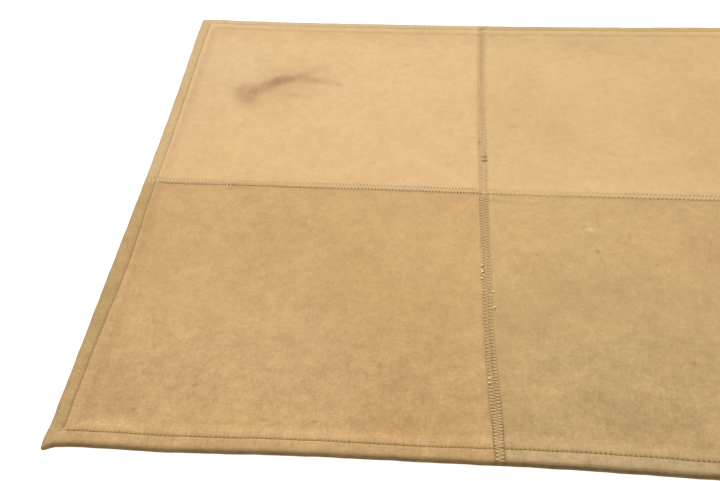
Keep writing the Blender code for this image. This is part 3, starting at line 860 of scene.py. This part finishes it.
def tubes(name, paths, radius, thread, sides=7, flat=0.8):
    """Closed twisted tubes along paths, each a list of points, as one mesh."""
    points, faces, twist = [], [], []
    angles = np.arange(sides) / sides * 2 * np.pi - np.pi / 2
    for path in paths:
        path = np.asarray(path, float)
        heading = np.gradient(path, axis=0)
        heading /= np.linalg.norm(heading, axis=1)[:, None]
        sideways = np.cross(heading, (0, 0, 1.0))
        sideways /= np.linalg.norm(sideways, axis=1)[:, None] + 1e-9
        upwards = np.cross(sideways, heading)
        rings = len(path)
        length = np.append(0, np.cumsum(np.linalg.norm(np.diff(path, axis=0), axis=1)))
        first = len(points)
        for k in range(rings):
            size = radius * (TAPER if k in (0, rings - 1) else 1)
            for angle in angles:
                points.append(path[k] + size * (math.cos(angle) * sideways[k]
                                                + math.sin(angle) * flat * upwards[k]))
                twist.append(length[k] / TWIST + angle / (2 * np.pi))
        for k in range(rings - 1):
            for n in range(sides):
                here, there = first + k * sides, first + (k + 1) * sides
                m = (n + 1) % sides
                faces.append((here + n, here + m, there + m, there + n))
        faces.append([first + n for n in reversed(range(sides))])
        last = first + (rings - 1) * sides
        faces.append([last + n for n in range(sides)])
    mesh = body(name, points, faces, THREADS[thread])
    attribute(mesh, "twist", "FLOAT", twist)
    return mesh


def lenses(name, centres, radius, depth):
    """Small flattened closed dark dots, painted as the shade in needle holes."""
    rim, points, faces = 8, [], []
    for centre in centres:
        centre = np.array(centre)
        first = len(points)
        points += [centre + (0, 0, depth), centre - (0, 0, depth)]
        for k in range(rim):
            angle = 2 * math.pi * k / rim
            points.append(centre + (radius * math.cos(angle), radius * math.sin(angle), 0))
            m = (k + 1) % rim
            faces.append((first, first + 2 + k, first + 2 + m))
            faces.append((first + 1, first + 2 + m, first + 2 + k))
    return body(name, points, faces, HOLE_SHADE)


TWIST = 0.0011  # length of one turn of a thread's twist
TAPER = 0.55  # width of a stitch's ends, as a share of its middle's
SEAM_RISE = 0.30  # height of a zigzag thread's middle, as a share of its radius
HEM_RISE = 0.55  # the same for a hem's
SEAM_SINK, HEM_SINK = 0.0007, 0.0005  # how deep their ends go into the suede
SEAM_FLAT = 0.50  # thickness of the zigzags' threads, as a share of their width
TAUT = (0.75, 0.25)  # shares of the leather's height and of the straight line's, long seam
HEM_YARN = 0.00036
STITCH_START = 0.17  # share of the pitch by which a hem stitch keeps off the needle hole
HOLE_SINK = 0.00005  # depth of a needle hole's middle
SEAM_HOLE, HEM_HOLE = 0.00025, 0.00028  # half heights of the needle holes
SEAM_SHIFTS = (0.00018, 0.00022)  # unevenness of the needle holes, along and across
HEM_SHIFTS = (0.00015, 0.00008)
UNDER_DEPTH = 0.00030  # height of the underside threads' middle
UNDER_SINK = 0.00060  # how much higher they are at the needle holes
random = np.random.default_rng(7)


def leg_rise(t, rise, sink):
    """Height of a thread's middle above the leather along a stitch, t from 0 to 1."""
    ends = np.minimum(t, 1 - t) / 0.14
    return -sink + (sink + rise) * smooth(ends, 0, 1)


def zigzag(way, rows, start, end, radius):
    """Legs of a zigzag along a seam, and the needle holes, way being "long" or "cross"."""
    first, last = turns_along(rows, np.array([start, end])) * 2
    halves = np.arange(math.ceil(first), math.floor(last) + 1)
    holes = []
    for half, place in zip(halves, places_of(rows, halves / 2)):
        side = float(through(rows, place / MM, 1 + int(half) % 2)) * MM
        holes.append((place + random.normal(0, SEAM_SHIFTS[0]),
                      side + random.normal(0, SEAM_SHIFTS[1])))

    def on_seam(along, off):
        return on_mat(*((PANEL + off, along) if way == "long" else (along, PANEL + off)))

    legs, centres = [], []
    for first, second in zip(holes, holes[1:]):
        t = np.linspace(0, 1, 15)
        x, y, top, _ = on_seam(*(first[k] + (second[k] - first[k]) * t for k in (0, 1)))
        chord = np.maximum(top[0] + (top[-1] - top[0]) * t, top)
        taut = top * TAUT[0] + chord * TAUT[1] if way == "long" else top
        legs.append(np.column_stack([x, y, taut + leg_rise(t, radius * SEAM_RISE, SEAM_SINK)]))
    for hole in holes:
        x, y, top, _ = on_seam(*hole)
        centres.append((float(x), float(y), float(top) - HOLE_SINK))
    return legs, centres


def under_stitches(centres):
    """Straight stitches on the underside from needle hole to needle hole."""
    t = np.linspace(0, 1, 5)
    dip = UNDER_DEPTH + (1 - smooth(np.minimum(t, 1 - t), 0, 0.2)) * UNDER_SINK
    paths = []
    for first, second in zip(centres, centres[1:]):
        x, y = (first[k] + (second[k] - first[k]) * t for k in (0, 1))
        paths.append(np.column_stack([x, y, dip]))
    return paths


def sewn(name, stitches, centres, radius, sides, flat, hole, hole_depth, thread):
    """The pieces of one row of stitches: its threads, dark dots painted as its needle holes' shade, and
    its underside.
    """
    piece(name, tubes(name, stitches, radius, thread, sides, flat))
    piece(name + "_hole_shades", lenses(name + "_hole_shades", centres, hole, hole_depth))
    under = tubes(name + "_under", under_stitches(centres), radius, thread, sides=5)
    piece(name + "_under", under)


# Seams.  Columns: name, direction, zigzag, start, end, radii of thread and hole, thread, slot.
SEAMS = (
    ("seam_long_near", "long", LONG_ZIGZAG, 0.0008, 0.3975, 0.00046, 0.00055, "beige", "suede_tan"),
    ("seam_long_far", "long", LONG_ZIGZAG, 0.4015, 0.7978, 0.00036, 0.00045, "olive", "suede_peach"),
    ("seam_cross_left", "cross", CROSS_ZIGZAG, 0.0035, 0.3935, 0.00043, 0.00045, "olive", "suede_peach"),
    ("seam_cross_right", "cross", CROSS_ZIGZAG, 0.4075, 0.7965, 0.00043, 0.00045, "olive", "suede_sand"),
)
for name, way, rows, start, end, radius, hole, thread, slot in SEAMS:
    legs, centres = zigzag(way, rows, start, end, radius)
    sewn(name, legs, centres, radius, 7, SEAM_FLAT, hole, SEAM_HOLE, thread)


def hem_line(side, start, end):
    """Nominal places of the hem's needle holes along part of one side of the mat."""
    ends = np.array([max(start, HEM_STITCH), min(end, 2 * PANEL - HEM_STITCH)])
    first, last = turns_along(HEM_PITCH, ends, 1)
    run = places_of(HEM_PITCH, np.arange(math.ceil(first), last), 1)
    run = run + random.normal(0, HEM_SHIFTS[0], len(run))
    level = np.full_like(run, HEM_STITCH) + random.normal(0, HEM_SHIFTS[1], len(run))
    if side in ("right", "back"):
        level = 2 * PANEL - level
    return (run, level) if side in ("front", "back") else (level, run)


# Hems.  Columns: side and part of it, start, end, radius of needle hole, thread, slot.
HEMS = (
    ("front", 0, 2 * PANEL, 0.00065, "brown", "suede_tan"),
    ("left_near", 0, PANEL, 0.00060, "tan", "suede_tan"),
    ("left_far", PANEL, 2 * PANEL, 0.00055, "sand", "suede_peach"),
    ("right", 0, 2 * PANEL, 0.00060, "tan", "suede_sand"),
    ("back", 0, 2 * PANEL, 0.00045, "sand", "suede_peach"),
)
for name, start, end, hole, thread, slot in HEMS:
    across, away = hem_line(name.split("_")[0], start, end)
    stitches = []
    for k in range(len(across) - 1):
        t = np.linspace(0, 1, 9)
        share = STITCH_START + (1 - 2 * STITCH_START) * t
        x, y, top, _ = on_mat(across[k] + (across[k + 1] - across[k]) * share,
                              away[k] + (away[k + 1] - away[k]) * share)
        rise = leg_rise(t, HEM_YARN * HEM_RISE, HEM_SINK)
        stitches.append(np.column_stack([x, y, top + rise]))
    x, y, top, _ = on_mat(across, away)
    centres = np.column_stack([x, y, top - HOLE_SINK])
    sewn("hem_thread_" + name, stitches, centres, HEM_YARN, 6, 0.8, hole, HEM_HOLE, thread)

# Loose thread.  Columns: x, y on the nominal mat, length (mm), turned (degrees), curl.
TUFTS = (
    (393.2, 268.5, 4.5, 20, 0.6), (392.6, 262.5, 4.5, -10, -0.8), (393.3, 257.5, 4.5, 15, 0.8),
    (396.2, 252.5, 3.5, 60, 1), (395.6, 247, 3.5, 70, 1.4), (405.3, 226.5, 3.5, 60, 1),
    (403.6, 202.5, 5, 10, 0.5), (394, 103.5, 4, 20, -0.6), (394, 98, 4, -30, 0.8),
)
SLACK = ((98, 406.5, 15, -80, 0), (103, 403.5, 10, -82, 0.05), (105, 408, 8, -80, 0.1))
SOILED = ((397.5, 474.3, 7, 0, 0), (397.5, 466, 7, 0, 0))
LIE = 0.0004  # height of their ends' middle above the leather


def loose_ends(rows, lift):
    """Paths of short thread ends lying in low bows on the leather."""
    ends = []
    t = np.linspace(0, 1, 12)
    for across, away, length, turn, curl in rows:
        angle = turn * DEG + curl * t * 2
        px = across * MM + np.cumsum(np.cos(angle)) * length * MM / len(t)
        py = away * MM + np.cumsum(np.sin(angle)) * length * MM / len(t)
        x, y, top, _ = on_mat(px, py)
        ends.append(np.column_stack([x, y, top + LIE + lift * np.sin(np.pi * t)]))
    return ends


for name, rows, lift, radius, thread in (
        ("loose_thread_ends", TUFTS, 0.0009, 0.00070, "pale"),
        ("slack_thread", SLACK, 0.0004, 0.00055, "cream"),
        ("soiled_stitches", SOILED, 0.0004, 0.00060, "brown")):
    piece(name, tubes(name, loose_ends(rows, lift), radius, thread))

# ------ floor, light, camera
FLOOR_HALF = 9.0
FLOOR_DROP = 0.0003
FLOOR_GREY = (0.30, 0.30, 0.30, 1)
FLOOR_GLOW = 0.96
SKY_STRENGTH = 0.75
KEY_SIZE = 3.0
KEY_ENERGY = 420
KEY_PLACE = Vector((-2.2, 3.9, 4.6))
WHITE = (1, 1, 1, 1)

mesh = bpy.data.meshes.new("studio_floor")
mesh.from_pydata([(x * FLOOR_HALF, y * FLOOR_HALF, -FLOOR_DROP)
                  for x, y in ((-1, -1), (1, -1), (1, 1), (-1, 1))], [], [(0, 1, 2, 3)])
floor = in_scene("studio_floor", mesh)
paper = Look("studio_floor")
paper.constants({"Base Color": FLOOR_GREY, "Roughness": 1.0, "Specular IOR Level": 0.0,
                 "Emission Color": WHITE, "Emission Strength": FLOOR_GLOW})
mesh.materials.append(paper.material)

world = bpy.data.worlds.new("studio")
world.use_nodes = True
sky = world.node_tree.nodes["Background"].inputs
sky["Color"].default_value = WHITE
sky["Strength"].default_value = SKY_STRENGTH
bpy.context.scene.world = world

key = in_scene("key", bpy.data.lights.new("key", "AREA"))
key.data.shape = "SQUARE"
key.data.size = KEY_SIZE
key.data.energy = KEY_ENERGY
key.location = KEY_PLACE
key.rotation_mode = "QUATERNION"
key.rotation_quaternion = (-KEY_PLACE).to_track_quat("-Z", "Y")

CAMERA_PLACE = (0.33076, -0.60232, 0.74176)  # mat coordinates
CAMERA_DOWN = 39.08 * DEG
CAMERA_YAW = -4.35 * DEG
CAMERA_ROLL = -0.85 * DEG
FOCAL_PIXELS = 1074.6
PICTURE_WIDTH = 720
SENSOR = 36.0
camera = in_scene("camera", bpy.data.cameras.new("camera"))
camera.data.sensor_fit = "HORIZONTAL"
camera.data.sensor_width = SENSOR
camera.data.lens = FOCAL_PIXELS / PICTURE_WIDTH * SENSOR
turn = (Matrix.Rotation(-CAMERA_YAW, 4, "Z") @ Matrix.Rotation(math.pi / 2 - CAMERA_DOWN, 4, "X")
        @ Matrix.Rotation(CAMERA_ROLL, 4, "Z"))
camera.matrix_world = Matrix.Translation(Vector(CAMERA_PLACE) + Vector(MAT_ORIGIN)) @ turn
bpy.context.scene.camera = camera
bpy.context.scene.view_settings.view_transform = "Standard"
